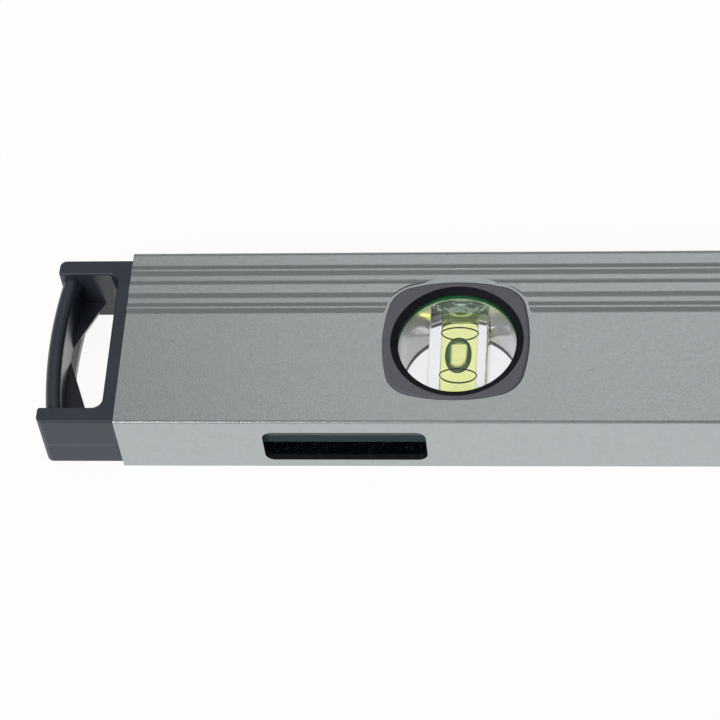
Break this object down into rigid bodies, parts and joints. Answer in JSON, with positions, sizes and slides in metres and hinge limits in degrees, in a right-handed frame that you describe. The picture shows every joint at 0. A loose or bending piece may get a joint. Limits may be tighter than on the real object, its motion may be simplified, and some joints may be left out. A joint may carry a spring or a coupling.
{
  "type": "spirit level",
  "caption": "Box-section aluminium spirit level with ribbed faces, round plumb windows with yellow-green vials, a top centre vial, magnets in the base and black end caps with hand holes",
  "frame": {"origin": "under the middle of the level, on the surface that it lies on", "axes": "+X along the level, +Y from the measuring face to the ribbed edge, +Z out of the front face"},
  "size_m": [0.601, 0.06, 0.0238],
  "materials": {
    "anodised_aluminium": "bead-blasted, clear anodised extrusion",
    "black_plastic": "moulded, fine texture outside and glossy inside",
    "frame_plastic": "moulded, satin face and glossy funnel ring",
    "light_plastic": "light grey moulded liner",
    "clear_acrylic": "polished clear acrylic",
    "tinted_liquid": "yellow-green vial liquid",
    "air_bubble": "air bubble",
    "magnet_coating": "black coated magnet bar",
    "dark_plastic": "dark blue-grey moulded carrier"
  },
  "bodies": {
    "level": {"centre_liquid": "tinted_liquid", "centre_reading_marks": "black_plastic", "centre_vial_block": "clear_acrylic", "centre_vial_housing": "black_plastic", "centre_vial_plug": "clear_acrylic", "end_cap_left": "black_plastic", "end_cap_right": "black_plastic", "left_magnet": "magnet_coating", "left_magnet_carrier": "dark_plastic", "left_plumb_liquid": "tinted_liquid", "left_plumb_reading_marks": "black_plastic", "left_plumb_vial_block": "clear_acrylic", "left_plumb_vial_plug": "clear_acrylic", "light_tunnel_left": "light_plastic", "light_tunnel_right": "light_plastic", "profile": "anodised_aluminium", "right_magnet": "magnet_coating", "right_magnet_carrier": "dark_plastic", "right_plumb_liquid": "tinted_liquid", "right_plumb_reading_marks": "black_plastic", "right_plumb_vial_block": "clear_acrylic", "right_plumb_vial_plug": "clear_acrylic", "window_frame_left_back": "frame_plastic", "window_frame_left_front": "frame_plastic", "window_frame_right_back": "frame_plastic", "window_frame_right_front": "frame_plastic", "window_lens_left_back": "clear_acrylic", "window_lens_left_front": "clear_acrylic", "window_lens_right_back": "clear_acrylic", "window_lens_right_front": "clear_acrylic"},
    "left_plumb_bubble_body": {"left_plumb_bubble": "air_bubble"},
    "right_plumb_bubble_body": {"right_plumb_bubble": "air_bubble"},
    "centre_bubble_body": {"centre_bubble": "air_bubble"}
  },
  "joints": [
    {"name": "left_plumb_bubble_travel", "type": "slide", "parent": "level", "child": "left_plumb_bubble_body", "axis": [0, 1, 0], "range_m": [-0.0072, 0.0092], "stiffness_N_per_m": 0.05, "deforming": ["left_plumb_liquid"]},
    {"name": "right_plumb_bubble_travel", "type": "slide", "parent": "level", "child": "right_plumb_bubble_body", "axis": [0, 1, 0], "range_m": [-0.0072, 0.0092], "stiffness_N_per_m": 0.05, "deforming": ["right_plumb_liquid"]},
    {"name": "centre_bubble_travel", "type": "slide", "parent": "level", "child": "centre_bubble_body", "axis": [1, 0, 0], "range_m": [-0.0133, 0.0121], "stiffness_N_per_m": 0.05, "deforming": ["centre_liquid"]}
  ]
}
